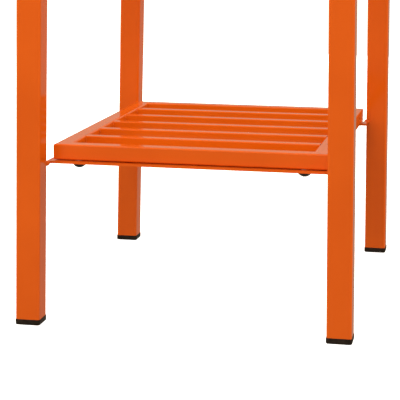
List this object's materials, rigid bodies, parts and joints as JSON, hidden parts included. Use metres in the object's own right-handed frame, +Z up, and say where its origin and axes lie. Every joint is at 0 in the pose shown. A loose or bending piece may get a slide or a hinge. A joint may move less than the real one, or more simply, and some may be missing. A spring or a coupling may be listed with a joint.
{
  "type": "sawhorse",
  "caption": "Square-tube steel work trestle with slightly splayed legs, a flat slatted top, a bolted slatted shelf and plastic foot plugs.",
  "frame": {"origin": "on the floor, at the middle of the footprint", "axes": "+X to the right, +Y to the rear, +Z up"},
  "size_m": [0.411, 0.5312, 0.75],
  "materials": {
    "orange_paint": "gloss powder coat on steel",
    "black_plastic": "fine satin moulding",
    "black_steel": "black oxide",
    "zinc_steel": "zinc plate"
  },
  "bodies": {
    "root": {"leg_front_left": "orange_paint", "leg_front_right": "orange_paint", "leg_rear_left": "orange_paint", "leg_rear_right": "orange_paint", "foot_front_left": "black_plastic", "foot_front_right": "black_plastic", "foot_rear_left": "black_plastic", "foot_rear_right": "black_plastic", "top_rail_front": "orange_paint", "shelf_rail_front": "orange_paint", "top_rail_rear": "orange_paint", "shelf_rail_rear": "orange_paint", "top_rail_left": "orange_paint", "shelf_rail_left": "orange_paint", "top_rail_right": "orange_paint", "shelf_rail_right": "orange_paint", "top_slat_1": "orange_paint", "shelf_slat_1": "orange_paint", "top_slat_2": "orange_paint", "shelf_slat_2": "orange_paint", "top_slat_3": "orange_paint", "shelf_slat_3": "orange_paint", "top_slat_4": "orange_paint", "shelf_slat_4": "orange_paint", "top_slat_5": "orange_paint", "shelf_slat_5": "orange_paint", "shelf_bar_front": "orange_paint", "shelf_bar_rear": "orange_paint", "shelf_bar_welds": "orange_paint", "shelf_bolts": "black_steel", "shelf_rivet_nuts": "zinc_steel"}
  },
  "joints": []
}
